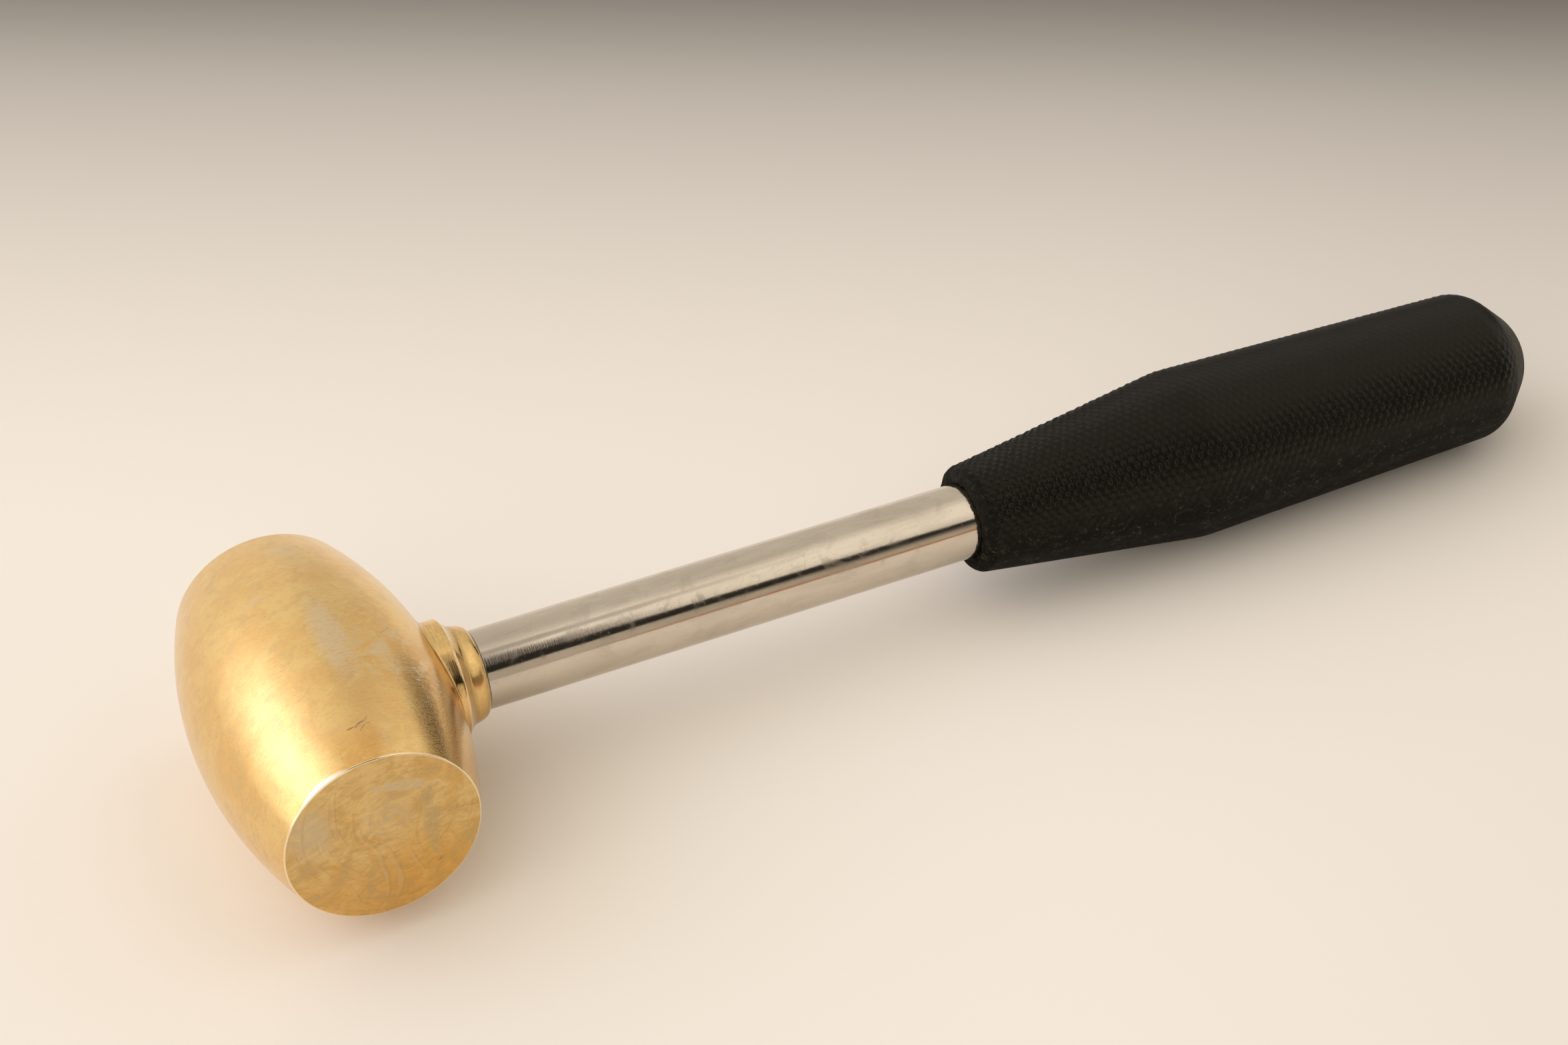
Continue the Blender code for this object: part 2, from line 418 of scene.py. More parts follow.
def rounded(corners, step):
    """Points at most step apart along straight runs with rounded corners. A corner is (x, r, round)."""
    marks = [Vector(corners[0][:2])]
    for before, corner, after in zip(corners, corners[1:], corners[2:]):
        here = Vector(corner[:2])
        back = (Vector(before[:2]) - here).normalized()
        on = (Vector(after[:2]) - here).normalized()
        half = back.angle(on) / 2
        if corner[2] == 0 or half > math.radians(89.5):
            marks.append(here)
            continue
        setback = corner[2] / math.tan(half)
        middle = here + (back + on).normalized() * (corner[2] / math.sin(half))
        first, last = here + back * setback, here + on * setback
        turn = (last - middle).angle_signed(first - middle)
        count = max(3, math.ceil(abs(turn) * corner[2] / step))
        for i in range(count + 1):
            marks.append(middle + Matrix.Rotation(turn * i / count, 2) @ (first - middle))
    marks.append(Vector(corners[-1][:2]))
    points = [marks[0]]
    for here, there in zip(marks, marks[1:]):
        count = max(1, math.ceil((there - here).length / step - 1e-6))
        points += [here.lerp(there, (i + 1) / count) for i in range(count)]
    return points


# Brass head

def barrel_radius(s, y):
    return s.belly_radius - (s.belly_radius - s.face_radius) * (2 * y / s.barrel_length) ** 2


def barrel_profile(s):
    """Half the barrel's outline from the near face's middle to the far face's middle, in mm."""
    half = s.barrel_length / 2
    middle = [PATCH_REACH * i / PATCH_STEPS for i in range(PATCH_STEPS)]
    run = half - LIP_START - PATCH_REACH
    flank = [PATCH_REACH + run * i / FLANK_STEPS for i in range(FLANK_STEPS + 1)]
    lip = [half - d for d in (1.75, 1.25, 0.85, 0.58, 0.38)]
    outline = [(barrel_radius(s, y), y) for y in middle + flank + lip]
    edge = s.face_radius
    outline += [(edge + 0.03, half - 0.18), (edge - 0.06, half - 0.06), (edge - 0.2, half - 0.01)]
    outline += [(edge - d, half) for d in (0.42, 0.8, 1.6, 3.4, 6.0, 9.0, 12.0, 15.0, edge)]
    near = [(r, -y, 0) for r, y in reversed(outline[1:])]
    return near + [(r, y, 0) for r, y in outline]


def wear_rim(mesh, s):
    """Mushrooms the barrel's two rims by hammering: an uneven lip, and one swollen place on the near rim."""
    half = s.barrel_length / 2
    for vertex in mesh.verts:
        x, y, z = vertex.co / MM
        girth = math.hypot(x, z)
        depth = half - abs(y)
        if depth > 2.6 or girth < s.face_radius - 0.35:
            continue
        turn = math.degrees(math.atan2(x, z))
        a = math.radians(turn) + (0.0 if y < 0 else 2.1)
        lip = 0.03 + 0.014 * math.sin(3 * a + 1.0) + 0.009 * math.sin(7 * a + 2.2)
        swell = lip * max(0.0, 1 - depth / 0.5)
        if y < 0:
            window = max(0.0, 1 - ((turn - DENT_TURN) / DENT_SPREAD) ** 2)
            swell += DENT_SWELL * window ** 0.6 * max(0.0, 1 - depth / DENT_DEPTH)
            tuck = max(0.0, 1 - ((turn + 7) / 9) ** 2)
            swell -= 0.10 * tuck * max(0.0, 1 - abs(depth - 0.6) / 0.3)
        scale = (girth + swell) / girth
        vertex.co.x *= scale
        vertex.co.z *= scale


def boss_ring(s, around, radius, lift=0.0, reach=0.0, share=1.0):
    """Point of the boss at an angle round the handle, share of the way from lift mm off the barrel to reach."""
    y, z = radius * math.cos(around), radius * math.sin(around)
    foot = math.sqrt(max(0.0, barrel_radius(s, y) ** 2 - z * z)) + lift
    return Vector((foot + (reach - foot) * share, y, z)) * MM


def boss_rings(s):
    """Rings of the boss from its fillet on the barrel to the floor of its socket."""
    crest, neck, bore = s.crest_radius, s.neck_radius, s.bore_radius
    yield from [dict(radius=crest + d, lift=h, share=0.0) for d, h in
                ((0.9, 0.0), (0.55, 0.02), (0.28, 0.09), (0.11, 0.21), (0.05, 0.32), (0.03, 0.40))]
    yield from [dict(radius=crest + d, lift=0.40, reach=25.05, share=w) for d, w in
                ((0.03, 0.2), (0.04, 0.5), (0.06, 0.8), (0.07, 1.0))]
    yield from [dict(radius=crest + d, reach=x) for d, x in
                ((0.03, 25.28), (-0.06, 25.44), (-0.24, 25.56), (-0.75, 25.93), (-1.35, 26.42))]
    yield from [dict(radius=neck + d, reach=x) for d, x in
                ((0.6, 26.86), (0.38, 27.16), (0.26, 27.52), (0.17, 27.95), (0.07, 28.4), (-0.05, 28.85),
                 (-0.18, 29.28), (-0.34, 29.66), (-0.54, 30.0), (-0.8, 30.3), (-1.05, 30.52), (-1.2, 30.6),
                 (-1.3, 30.57))]
    yield from [dict(radius=bore, reach=x) for x in (30.38, 29.6, 27, 20, 10, 0, -9, -11.5)]
    yield from [dict(radius=bore - d, reach=x) for d, x in ((0.2, -11.94), (0.7, -12.0))]


def grow_boss(piece, s):
    """Opens a square in the barrel's mesh and grows the boss and its socket out of it, ring by ring."""
    mesh = bmesh.from_edit_mesh(piece.data)
    step = math.tau / BARREL_SIDES
    half = PATCH_STEPS * step + 1e-4
    inside = {v for v in mesh.verts
              if abs(math.atan2(v.co.z, v.co.x)) < half and abs(v.co.y) < PATCH_REACH * MM + 1e-6
              and math.hypot(v.co.x, v.co.z) > s.face_radius * MM}
    select_only(mesh, inside)
    bmesh.update_edit_mesh(piece.data)
    bpy.ops.mesh.delete(type="FACE")
    mesh = bmesh.from_edit_mesh(piece.data)
    opening = {v for e in mesh.edges if e.is_boundary for v in e.verts}
    select_only(mesh, opening)
    bmesh.update_edit_mesh(piece.data)

    def square_angle(co):
        """Even angle round the boss for a point on the square's border."""
        u = co.y / (PATCH_REACH * MM)
        v = math.atan2(co.z, co.x) / (PATCH_STEPS * step)
        quarter = math.pi / 4
        if abs(u) >= abs(v):
            return v * quarter if u > 0 else math.pi - v * quarter
        return math.pi / 2 - u * quarter if v > 0 else -math.pi / 2 + u * quarter

    def next_ring(angle_of, place):
        bpy.ops.mesh.extrude_region_move(TRANSFORM_OT_translate={"value": (0, 0, 0)})
        ring = bmesh.from_edit_mesh(piece.data)
        for vertex in ring.verts:
            if vertex.select:
                vertex.co = place(angle_of(vertex.co), vertex.co)
        bmesh.update_edit_mesh(piece.data)

    def round_angle(co):
        return math.atan2(co.z, co.y)

    def halfway(around, co):
        flat = Vector((co.y, co.z)).lerp(Vector((math.cos(around), math.sin(around)))
                                         * (s.crest_radius + 1.35) * MM, 0.5)
        skin = math.sqrt(barrel_radius(s, flat.x / MM) ** 2 - (flat.y / MM) ** 2) * MM
        return Vector((skin, flat.x, flat.y))

    rings = list(boss_rings(s))
    next_ring(square_angle, halfway)
    first = rings[0]
    next_ring(even_angle, lambda a, co: boss_ring(s, a, **first))
    for ring in rings[1:]:
        next_ring(round_angle, lambda a, co: boss_ring(s, a, **ring))
    bpy.ops.mesh.edge_face_add()
    bpy.ops.mesh.select_all(action="SELECT")
    bpy.ops.mesh.normals_make_consistent(inside=False)


def even_angle(co):
    """Nearest even angle round the boss for a point of the ring halfway to the square."""
    step = math.tau / (8 * PATCH_STEPS)
    return round(math.atan2(co.z, co.y) / step) * step


class HAMMER_OT_brass_head(bpy.types.Operator):
    """Models the barrel, its worn rims and the stepped boss with its socket"""

    bl_idname = "hammer.brass_head"
    bl_label = "Brass head"

    def execute(self, context):
        s = context.scene.hammer_head
        head = draw_profile("satin_brass_head", barrel_profile(s))
        spin_profile((0, 1, 0), BARREL_SIDES)
        mesh = bmesh.from_edit_mesh(head.data)
        wear_rim(mesh, s)
        bmesh.update_edit_mesh(head.data)
        grow_boss(head, s)
        bpy.ops.object.mode_set(mode="OBJECT")
        apply_modifier(head, "SUBSURF", levels=1, render_levels=1)
        cut_pin_hole(head)
        lay_down(head, "brass_head", brass_finish(s), 40)
        return {"FINISHED"}


# Colours of the stains, worn places and darker places on the brass, and of its painted light: a painted dark
# reflection beside the boss and a painted highlight on the peened place.
STAINS_AND_PAINTED_LIGHT = {
    "olive": (0.66, 0.485, 0.215),
    "painted_dark_reflection": (0.52, 0.31, 0.11),
    "orange_rim": (0.72, 0.41, 0.12),
    "dark_hair": (0.50, 0.33, 0.13),
    "bright_hair": (0.95, 0.76, 0.42),
    "bruise": (0.50, 0.39, 0.27),
    "tear": (0.30, 0.145, 0.07),
    "crease": (0.28, 0.145, 0.055),
    "flange": (0.42, 0.27, 0.11),
    "flange_streak": (0.26, 0.175, 0.085),
    "cove": (0.42, 0.27, 0.10),
    "neck": (0.48, 0.335, 0.125),
    "boss_low": (0.60, 0.39, 0.15),
    "polished_and_painted_highlight": (0.95, 0.86, 0.70),
    "face_gold": (0.71, 0.50, 0.215),
    "face_orange": (0.70, 0.405, 0.115),
    "face_brown": (0.46, 0.305, 0.115),
    "face_pale": (0.82, 0.60, 0.275),
    "face_dull": (0.50, 0.385, 0.20),
    "face_grey": (0.60, 0.50, 0.33),
    "face_scratch": (0.44, 0.29, 0.105),
    "face_swirl": (0.46, 0.30, 0.11),
    "face_silver": (0.66, 0.55, 0.36),
    "face_score": (0.42, 0.27, 0.105),
    "face_dot": (0.36, 0.19, 0.09),
}

# Marks in mm as (start, end, half width, bow): silvery scores and dark cuts across the face as (x, z), and
# gouges on the top of the barrel as (x, y).
FACE_SCORES = [
    ((-4.2, 1.1), (-2.2, -15.4), 0.5, 2.2),
    ((-0.8, -1.7), (-0.1, -15.9), 0.6, 1.8),
    ((4.2, -4.2), (5.8, -10.8), 0.4, -0.4),
    ((-7.0, 14.4), (-7.2, 0.2), 0.34, -1.1),
    ((-8.6, 12.0), (-9.0, 3.0), 0.24, -0.7),
    ((9.0, 0.4), (17.2, 0.6), 0.3, 0.5),
    ((-8.3, -8.4), (-5.8, -14.4), 0.3, 0.3),
]
FACE_CUTS = [
    ((-14.4, -3.6), (-6.0, -2.9), 0.3, 0.3),
    ((10.3, -1.9), (17.4, -3.4), 0.3, 0.4),
    ((2.0, 13.6), (12.6, 11.7), 0.3, 0.4),
    ((-14.0, -6.4), (-8.6, -8.2), 0.3, 0.3),
    ((-6.0, -13.0), (-2.8, -16.2), 0.3, -0.3),
    ((7.2, 5.0), (6.6, -7.0), 0.35, -0.3),
]
GOUGES = [
    ((-2.4, -28.75), (-0.6, -28.6), 0.17, 0.0),
    ((-0.7, -28.8), (0.9, -27.9), 0.27, 0.1),
    ((0.5, -28.1), (2.2, -27.0), 0.17, -0.1),
    ((-0.1, -29.9), (1.1, -28.7), 0.17, 0.1),
    ((0.9, -28.8), (2.2, -28.6), 0.13, 0.15),
    ((11.5, -6.7), (12.7, -5.7), 0.09, 0.05),
    ((12.8, -5.5), (13.8, -4.6), 0.08, 0.05),
]


def face_look(t, own, half, near):
    """Colour, roughness and height of a striking face: wisps and clouds, curved scores, and smears of grey."""
    x, y, z = t.split(own)
    swirl_x, swirl_z = x - 2.6, z - 4.0
    swirl_reach = (swirl_x * swirl_x + swirl_z * swirl_z).root()
    swirl = t.grain(t.point(swirl_reach * 1.7, swirl_x.turn(swirl_z) * 1.1, y), 1.0, 4.0, 0.62, 0.5)
    cloud = t.grain(own, 0.15, 7.0, 0.64, 1.2)
    wisp = t.grain(t.point(x * 0.24 + z * 0.06, z * 0.40 - x * 0.10, y), 1.0, 6.0, 0.58, 1.6)
    scratch = t.grain(t.point(x * 0.7 + z * 0.2, z * 2.8 - x * 0.6, y), 1.0, 4.0, 0.7, 0.3)
    drift = (t.grain(own, 0.12, 1.0) - 0.5) * 3.0
    u, v = x + drift + (scratch - 0.5) * 0.2, z - drift * 0.6

    scores = [t.stroke(u, v, *mark) for mark in FACE_SCORES]
    cuts = [t.stroke(u, v, *mark)[0] for mark in FACE_CUTS]
    silvered = t.highest(*[core for core, far_edge in scores])
    scored = t.highest(*[far_edge for core, far_edge in scores], *cuts)
    top_smear = t.stroke(u, v, (-2.0, 12.0), (11.0, 8.8), 1.6, 0.3)[0]
    right_smear = t.stroke(u, v, (8.4, 9.5), (9.2, -8.5), 2.0, 0.3)[0]
    side_smear = t.spot(t.point(u * 1.5, y, v), (-19.8, -half, 6.0), 9.5, 0.2)
    middle_smear = t.spot(t.point(u, y, v), (1.5, -half, 4.5), 7.5, 0.1)
    greyed = t.highest(
        top_smear * t.fade(wisp, 0.34, 0.56) * 0.8,
        side_smear * t.fade(cloud, 0.36, 0.54) * 0.7,
        middle_smear * t.fade(wisp, 0.38, 0.60) * 0.55,
        t.fade(cloud * 0.5 + wisp * 0.5, 0.54, 0.66) * 0.3)
    orange = t.highest(
        t.spot(own, (7.0, -half, -14.5), 19.0, 0.25),
        t.fade(cloud, 0.42, 0.62) * 0.6,
        t.fade(z, 0.0, -13.0) * 0.75)
    tone = wisp * 0.55 + cloud * 0.4 + scratch * 0.05
    dot = t.spot(own, (9.7, -half, -9.4), 0.9, 0.1) * t.fade(swirl, 0.40, 0.60)
    colour = t.layered(
        STAINS_AND_PAINTED_LIGHT["face_gold"],
        (orange, STAINS_AND_PAINTED_LIGHT["face_orange"]),
        (t.fade(tone, 0.42, 0.66) * 0.65, STAINS_AND_PAINTED_LIGHT["face_brown"]),
        (t.fade(tone, 0.48, 0.32) * 0.45, STAINS_AND_PAINTED_LIGHT["face_pale"]),
        (right_smear * near * t.fade(tone, 0.36, 0.56) * 0.7, STAINS_AND_PAINTED_LIGHT["face_dull"]),
        (greyed * near, STAINS_AND_PAINTED_LIGHT["face_grey"]),
        (t.fade(scratch, 0.52, 0.66) * 0.22, STAINS_AND_PAINTED_LIGHT["face_scratch"]),
        (t.fade(swirl, 0.52, 0.66) * 0.3, STAINS_AND_PAINTED_LIGHT["face_swirl"]),
        (silvered * near * t.fade(wisp, 0.36, 0.60) * 0.28, STAINS_AND_PAINTED_LIGHT["face_silver"]),
        (scored * near * t.fade(scratch, 0.36, 0.56) * 0.3, STAINS_AND_PAINTED_LIGHT["face_score"]),
        (dot * 0.7, STAINS_AND_PAINTED_LIGHT["face_dot"]))
    rough = 0.30 + cloud * 0.14
    height = swirl * 0.2 + wisp + cloud + scratch * 0.35 - scored * 0.08 - dot * 0.8
    return colour, rough, height


def brass_finish(s):
    """Satin brass: hair lines round the barrel, cloudy colour, silvery smears, scoured faces, edges worn bare and
    painted paler as a highlight, and a painted dark reflection beside the boss.
    """
    material, t, own = finish_named("satin_brass")
    x, y, z = t.split(own)
    girth, around = (x * x + z * z).root(), x.turn(z)
    reach, boss_turn = (y * y + z * z).root(), y.turn(z)
    half, edge, crest = s.barrel_length / 2, s.face_radius, s.crest_radius
    depth = half - abs(y)

    # The parts of the casting.
    face = (1.0 - t.fade(depth, 0.04, 0.09)) * (1.0 - t.fade(girth, edge - 0.3, edge - 0.12))
    handle_side = t.fade(x, 14.0, 16.0)
    boss = (1.0 - t.fade(reach, crest + 0.3, crest + 0.7)) * handle_side
    neck = boss * t.fade(x, 25.7, 26.3)
    flange = boss * (1.0 - neck)
    rim = t.fade(girth, edge - 0.26, edge - 0.12) * (1.0 - t.fade(depth, 0.12, 0.4))
    barrel = (1.0 - face) * (1.0 - boss)
    near = 1.0 - t.fade(y, -1.0, 1.0)
    upper = t.fade(z, 10.0, 14.0)

    # Hair lines run round the barrel, and round the boss, over a fine grain.
    lane = y - (around - 0.4).top(0.0) ** 2.0 * 8.0
    hair_long = t.grain(t.point(around * 13.0, lane * 2.6, girth * 0.2), 1.0, 4.0, 0.68, 0.15)
    hair_short = t.grain(t.point(around * 34.0, lane * 3.0 - around * 4.0, girth * 0.2), 1.0, 3.0, 0.7, 0.4)
    hair = hair_long * 0.6 + hair_short * 0.4
    fray = hair - 0.5
    boss_hair = t.grain(t.point(boss_turn * 4.0, x * 3.6, reach * 3.6), 1.0, 4.0, 0.68, 0.3)

    # Clouds of orange and olive on the gold, and silvery smears along the top and down towards the boss.
    cloud = t.grain(own, 0.075, 4.0, 0.55, 0.8)
    mottle = t.grain(t.point(around * 9.0, y * 0.5, girth * 0.3), 1.0, 5.0, 0.62, 1.0)
    blotch = t.grain(own, 0.23, 6.0, 0.66, 0.9)
    by_rim = t.fade(y, -20.0, -31.0) * t.fade(around, -0.3, 0.0) * (1.0 - t.fade(around, 0.08, 0.28))
    by_flange = t.spot(own, (12.5, -13.0, 19.0), 13.0, 0.45)
    # Beside the boss, part of the painted dark reflection.
    reflection_by_boss = t.spot(own, (19.0, -15.0, 13.0), 13.0, 0.4)
    warm = t.highest(
        t.fade(cloud * 0.45 + blotch * 0.35 + mottle * 0.2, 0.42, 0.58) * 0.7,
        t.spot(own, (11.0, -1.0, 21.8), 11.0, 0.1) * t.fade(mottle, 0.30, 0.60),
        t.spot(own, (5.5, 14.0, 23.0), 10.0, 0.1) * t.fade(blotch, 0.35, 0.65) * 0.8,
        by_rim * (0.6 + t.fade(blotch, 0.36, 0.58) * 0.4),
        by_flange * t.fade(blotch, 0.60, 0.42) * 0.9)
    olive = t.fade(blotch * 0.6 + mottle * 0.4, 0.51, 0.64)
    long_smear = ((around * 6.6 - 0.6) ** 2.0 + (y / 15.0 + 0.43) ** 2.0).root()
    ragged = long_smear + fray * 0.8 + (mottle - 0.5) * 0.8 + (blotch - 0.5) * 0.9
    fleck = t.fade(blotch * 0.5 + mottle * 0.5 + fray * 0.4, 0.51, 0.57)
    smear = t.highest(
        1.0 - t.fade(ragged, 0.25, 1.15),
        t.spot(own, (2.8, 25.3, 21.4), 6.0, 0.1) * t.fade(mottle, 0.40, 0.62) * 0.8,
        t.spot(own, (-7.5, 11.9, 22.8), 5.0, 0.1) * t.fade(mottle, 0.42, 0.62) * 0.6,
        fleck * (by_flange * 0.8 + 0.12))
    # A painted dark reflection in a band on the barrel beside the boss, where it is also less rough and its hair
    # lines stronger.
    dark_reflection_band = t.close(around, 0.82, 0.16, 0.36) * t.fade(y, -8.0, -16.0)
    near_warm = t.fade(y, -27.0, -33.0) * t.close(around, -0.08, 0.14, 0.30)

    # A gouged mark on the top of the barrel near the face, and small red nicks.
    u, v = x + fray * 0.7, y + fray * 0.9
    bruised = t.stroke(u, v, (-1.2, -29.0), (2.2, -27.1), 0.6, -0.1)[0] * upper
    torn = t.highest(*[t.stroke(u, v, *mark)[0] for mark in GOUGES]) * upper

    # Brown in the crease at the boss's foot and in its cove; edges worn bare and painted paler as a highlight;
    # the polished peened place, painted pale as a highlight.
    foot = t.close(reach, crest + 0.38, 0.06, 0.3) * handle_side
    streak = t.close(boss_turn, -0.76, 0.16, 0.40)
    cove = t.close(x, 26.9, 0.3, 1.1).top(t.close(x, 29.9, 0.1, 0.6) * 0.7) * neck
    patina = t.fade(blotch * 0.6 + boss_hair * 0.4, 0.47, 0.60)
    crest_edge = t.close(x, 25.45, 0.08, 0.3) * boss
    mouth = t.fade(x, 30.2, 30.5) * boss
    bare_and_highlit_edges = t.highest(rim * 0.8, crest_edge * 0.7, mouth * 0.5)
    dent_turn = (around * DEGREES - DENT_TURN) / DENT_SPREAD
    dent_width = (1.0 - dent_turn * dent_turn).top(0.0) * (DENT_DEPTH * 0.6)
    polished_and_highlit_dent = 1.0 - t.fade(depth - dent_width + fray * 0.5, -0.5, 0.2)
    polished_and_highlit_dent = polished_and_highlit_dent * t.fade(dent_width, 0.2, 0.6) * near * barrel

    face_colour, face_rough, face_height = face_look(t, own, half, near)
    colour = t.layered(
        s.brass,
        (warm, s.tarnish),
        (olive * 0.6, STAINS_AND_PAINTED_LIGHT["olive"]),
        # Painted dark reflection beside the boss.
        ((reflection_by_boss * 0.4).top(dark_reflection_band * 0.7), STAINS_AND_PAINTED_LIGHT["painted_dark_reflection"]),
        (near_warm * (0.4 + t.fade(mottle, 0.36, 0.60) * 0.5), STAINS_AND_PAINTED_LIGHT["orange_rim"]),
        (smear * 0.9, s.smear),
        (t.fade(fray, 0.0, 0.16) * (0.34 + dark_reflection_band * 0.3), STAINS_AND_PAINTED_LIGHT["dark_hair"]),
        (t.fade(hair_short, 0.46, 0.30) * 0.2, STAINS_AND_PAINTED_LIGHT["bright_hair"]),
        (face, face_colour),
        (bruised * t.fade(hair_short, 0.40, 0.60) * 0.6, STAINS_AND_PAINTED_LIGHT["bruise"]),
        (torn * (0.35 + t.fade(hair_short, 0.38, 0.58) * 0.45), STAINS_AND_PAINTED_LIGHT["tear"]),
        (foot * 0.75, STAINS_AND_PAINTED_LIGHT["crease"]),
        (flange * t.fade(boss_hair, 0.48, 0.66) * 0.5, STAINS_AND_PAINTED_LIGHT["flange"]),
        (flange * streak * t.fade(boss_hair, 0.60, 0.42) * 0.5, STAINS_AND_PAINTED_LIGHT["flange_streak"]),
        (cove * (0.35 + mottle * 0.4), STAINS_AND_PAINTED_LIGHT["cove"]),
        (neck * patina * 0.42, STAINS_AND_PAINTED_LIGHT["neck"]),
        (boss * t.fade(z, 7.0, -1.0) * 0.5, STAINS_AND_PAINTED_LIGHT["boss_low"]),
        # Edges worn bare, painted paler as a highlight.
        (bare_and_highlit_edges, s.rim),
        # The polished peened place, painted pale as a highlight.
        (polished_and_highlit_dent * 0.8, STAINS_AND_PAINTED_LIGHT["polished_and_painted_highlight"]))

    calm = 1.0 - (polished_and_highlit_dent * 0.85).top(neck * 0.7)
    rough = 0.16 + mottle * 0.06 + fray * 0.12 + smear * 0.06
    rough = rough * (1.0 - dark_reflection_band * 0.6) * (1.0 - boss * 0.3)
    rough = rough * (1.0 - face) + face * face_rough
    rough = rough * (1.0 - neck) + neck * (0.13 + blotch * 0.12)
    rough = rough * (1.0 - bare_and_highlit_edges.top(polished_and_highlit_dent) * 0.4) + torn * 0.2
    height = hair * barrel * calm * (1.15 + dark_reflection_band * 1.7) + boss_hair * boss * calm * 0.8
    height = height + face_height * face - torn * 0.9 - bruised * 0.5
    normal = t.raised(height, 0.028 * MM)
    normal = t.raised(cloud, 0.10 * MM, normal)
    t.surface({"Metallic": 1.0}, Base_Color=colour, Roughness=rough, Normal=normal)
    return material


# Handle tube

class HAMMER_OT_handle_tube(bpy.types.Operator):
    """Models the plated tube with broken edges at both ends and the pin's hole"""

    bl_idname = "hammer.handle_tube"
    bl_label = "Handle tube"

    def execute(self, context):
        s = context.scene.hammer_tube
        bore = s.radius - s.wall
        inner = [(s.end, bore + 0.3), (s.end - 0.3, bore), (s.start + 0.3, bore), (s.start, bore + 0.3)]
        outer = [(s.start, s.radius - 0.4), (s.start + 0.1, s.radius - 0.12), (s.start + 0.4, s.radius),
                 (s.end - 0.4, s.radius), (s.end - 0.1, s.radius - 0.12), (s.end, s.radius - 0.4)]
        corners = [(x, r, 0) for x, r in inner + outer + inner[:1]]
        points = [(p.x, 0, p.y) for p in rounded(corners, 5.0)]
        tube = draw_profile("plated_handle_tube", points)
        spin_profile((1, 0, 0), 144)
        bpy.ops.object.mode_set(mode="OBJECT")
        cut_pin_hole(tube)
        lay_down(tube, "handle_tube", plate_finish(s), 30)
        return {"FINISHED"}


HAZE = (0.54, 0.475, 0.39)
SMUDGE_AND_SHADE = (0.50, 0.44, 0.365)
PIT = (0.36, 0.315, 0.26)
MOUTH_GAP_SHADE = (0.10, 0.055, 0.025)


def plate_finish(s):
    """Bright plating over drawn tube: fine lines, haze, pin-head pits, smudges and painted shade near the head,
    and a painted shade line in the gap at the head's mouth.
    """
    material, t, own = finish_named("bright_plate")
    x, y, z = t.split(own)
    around = y.turn(z)
    polish = t.grain(t.point(x * 3.8, around * 2.4), 1.0, 4.0, 0.66, 0.2)
    drawn = t.grain(t.point(x * 0.10, around * 22.0), 1.0, 4.0, 0.62)
    haze = t.grain(t.point(x * 0.07, around * 2.2), 1.0, 6.0, 0.66, 0.6)
    pits = t.grain(t.point(x * 1.6, y * 2.4, z * 2.4), 1.0, 3.0, 0.6)
    pit = t.fade(pits, 0.62, 0.72)
    smudge = t.fade(t.grain(own, 0.16, 6.0, 0.68, 0.6), 0.50, 0.68)
    scratch = t.fade(drawn, 0.60, 0.68) * t.fade(haze, 0.50, 0.60)
    # Towards the head: smudges, painted shade and stronger polish lines.
    collar_smudge_and_shade = t.fade(x + (haze - 0.5) * 12.0, 46.0, 33.0)
    # Painted shade: a dark line in the gap where the tube enters the head's mouth.
    mouth_gap_shade = t.fade(x + (pits - 0.5) * 0.15, 31.05, 30.75)
    colour = t.layered(
        s.plate,
        (t.fade(haze, 0.36, 0.64) * 0.5, HAZE),
        # Smudges, and painted shade near the head.
        ((smudge * 0.5).top(collar_smudge_and_shade * 0.5), SMUDGE_AND_SHADE),
        ((pit * 0.35).top(scratch * 0.4), PIT),
        # Painted shade in the gap at the head's mouth.
        (mouth_gap_shade * 0.85, MOUTH_GAP_SHADE))
    rough = 0.04 + haze * 0.12 + smudge * 0.12 + pit * 0.12 + mouth_gap_shade * 0.3
    normal = t.raised(polish * (0.5 + collar_smudge_and_shade * 1.1) + drawn * 0.4 + pits * 0.4, 0.006 * MM)
    normal = t.raised(t.grain(t.point(x * 0.4, y, z), 0.12, 2.0), 0.05 * MM, normal)
    t.surface({"Metallic": 1.0}, Base_Color=colour, Roughness=rough, Normal=normal)
    return material


# Rubber grip

GRIP_BORE = 8.24
GRIP_BORE_END = 268.6
GRIP_LIP = 7.98
SHOULDER = (189.5, 18.4, 25.0)
HEEL = (265.6, 16.58, 8.0)
DOME_SLOPE = math.radians(41.0)
DOME_ROUND = 13.5
FRONT_RADIUS = 11.25

# Where the pimples fade out: behind the front lip, before the dome, along the worn top, and low down to the
# rear. Pairs of lengths in mm.
BEHIND_LIP = (0.8, 3.3)
BEFORE_DOME = (HEEL[0] + 4.0, HEEL[0] - 1.0)
WORN_ALONG = (150.0, 215.0)
WORN_HEIGHT = (11.0, 15.0)
REAR = (190.0, 230.0)

# How far the front lip is fretted along the handle, and how far back, in mm.
LIP_FRET = 0.55
FRET_REACH = 2.4


def grip_outline(s):
    """Outline of the grip in mm, as (x, r, round): its blind bore, then its skin from front lip to dome."""
    knee = (s.end, HEEL[1] - (s.end - HEEL[0]) * math.tan(DOME_SLOPE), DOME_ROUND)
    bore = [(GRIP_BORE_END, 0.0, 0), (GRIP_BORE_END, GRIP_BORE, 0), (s.front + 4.0, GRIP_BORE, 0),
            (s.front + 1.2, GRIP_LIP, 0)]
    skin = [(s.front, GRIP_LIP, 0.3), (s.front, FRONT_RADIUS, 2.5), SHOULDER, HEEL, knee, (s.end, 0.0, 0)]
    return bore, skin


